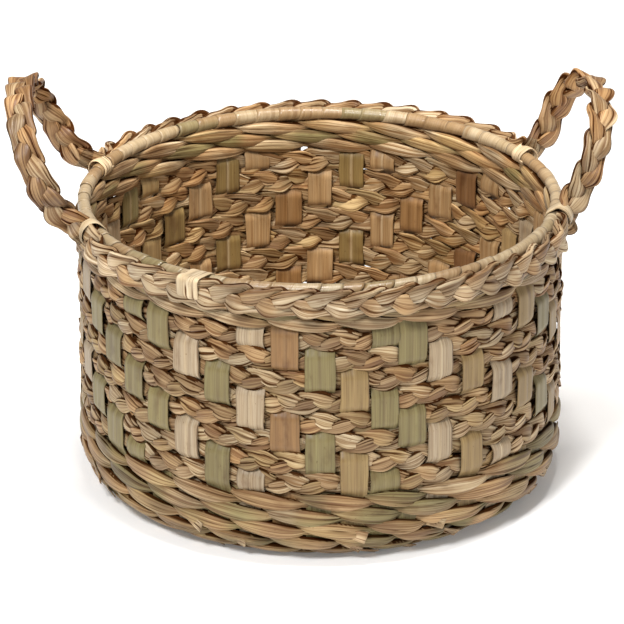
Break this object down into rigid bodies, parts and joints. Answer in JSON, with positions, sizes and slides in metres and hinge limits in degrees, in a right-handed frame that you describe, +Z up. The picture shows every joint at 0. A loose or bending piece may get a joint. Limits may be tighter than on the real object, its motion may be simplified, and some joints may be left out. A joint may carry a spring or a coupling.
{
  "type": "woven storage basket",
  "caption": "Round open basket woven from flat plaits over broad leaf stakes, with a wrapped hoop, a plaited rim and plaited loop handles that swing in and out.",
  "frame": {"origin": "on the ground under the middle of the floor, on the underside of the middle leaf", "axes": "+Z up out of the basket's mouth, +X towards the right handle, -Y the front; the left handle is at -X and the right one 11 degrees back from +X"},
  "size_m": [0.4514, 0.3825, 0.3089],
  "materials": {
    "leaf_stake": "flat dried leaf with fine lengthwise ribs, matt with a slight waxy sheen, green-grey to straw",
    "wall_plait": "three-strand flat plait of creased dried leaves, pinkish tan to straw with brown creases",
    "twined_strand": "twisted dried leaves with lengthwise fibres and brown creases",
    "hoop_core": "bundle of dried stems, hidden by its wrapping",
    "hoop_wrap": "pale smooth leaf band with a soft sheen",
    "rim_plait": "broad three-strand plait of creased dried leaves",
    "lashing": "pale narrow leaf band with a soft sheen",
    "handle_plait": "broad three-strand plait of warm tan leaves with dark brown creases"
  },
  "bodies": {
    "root": {"stake_leaf_x_1": "leaf_stake", "stake_leaf_x_2": "leaf_stake", "stake_leaf_x_3": "leaf_stake", "stake_leaf_x_4": "leaf_stake", "stake_leaf_x_5": "leaf_stake", "stake_leaf_x_6": "leaf_stake", "stake_leaf_x_7": "leaf_stake", "stake_leaf_x_8": "leaf_stake", "stake_leaf_x_9": "leaf_stake", "stake_leaf_x_10": "leaf_stake", "stake_leaf_x_11": "leaf_stake", "stake_leaf_y_1": "leaf_stake", "stake_leaf_y_2": "leaf_stake", "stake_leaf_y_3": "leaf_stake", "stake_leaf_y_4": "leaf_stake", "stake_leaf_y_5": "leaf_stake", "stake_leaf_y_6": "leaf_stake", "stake_leaf_y_7": "leaf_stake", "stake_leaf_y_8": "leaf_stake", "stake_leaf_y_9": "leaf_stake", "stake_leaf_y_10": "leaf_stake", "stake_leaf_y_11": "leaf_stake", "wall_plait_1": "wall_plait", "wall_plait_2": "wall_plait", "wall_plait_3": "wall_plait", "wall_plait_4": "wall_plait", "wall_plait_5": "wall_plait", "wall_plait_6": "wall_plait", "wall_plait_7": "wall_plait", "wall_plait_8": "wall_plait", "foot_round_1_outer_strand": "twined_strand", "foot_round_1_inner_strand": "twined_strand", "foot_round_2_outer_strand": "twined_strand", "foot_round_2_inner_strand": "twined_strand", "foot_round_3_outer_strand": "twined_strand", "foot_round_3_inner_strand": "twined_strand", "foot_round_4_outer_strand": "twined_strand", "foot_round_4_inner_strand": "twined_strand", "foot_round_5_outer_strand": "twined_strand", "foot_round_5_inner_strand": "twined_strand", "foot_round_6_outer_strand": "twined_strand", "foot_round_6_inner_strand": "twined_strand", "foot_round_7_outer_strand": "twined_strand", "foot_round_7_inner_strand": "twined_strand", "top_round_1_outer_strand": "twined_strand", "top_round_1_inner_strand": "twined_strand", "top_round_2_outer_strand": "twined_strand", "top_round_2_inner_strand": "twined_strand", "top_round_3_outer_strand": "twined_strand", "top_round_3_inner_strand": "twined_strand", "rim_hoop_core": "hoop_core", "rim_hoop_wrap": "hoop_wrap", "rim_plait_front": "rim_plait", "rim_plait_back": "rim_plait", "lashing_left_back": "lashing", "lashing_left_front": "lashing", "lashing_right_front": "lashing", "lashing_right_back": "lashing"},
    "handle_left": {"handle_left": "handle_plait"},
    "handle_right": {"handle_right": "handle_plait"}
  },
  "joints": [
    {"name": "handle_left_swing", "type": "hinge", "parent": "root", "child": "handle_left", "pos_m": [-0.192, 0, 0.2355], "axis": [0, 1, 0], "range_deg": [-55, 75]},
    {"name": "handle_right_swing", "type": "hinge", "parent": "root", "child": "handle_right", "pos_m": [0.18258, 0.03549, 0.2355], "axis": [0.1908, -0.9816, 0], "range_deg": [-65, 65]}
  ]
}
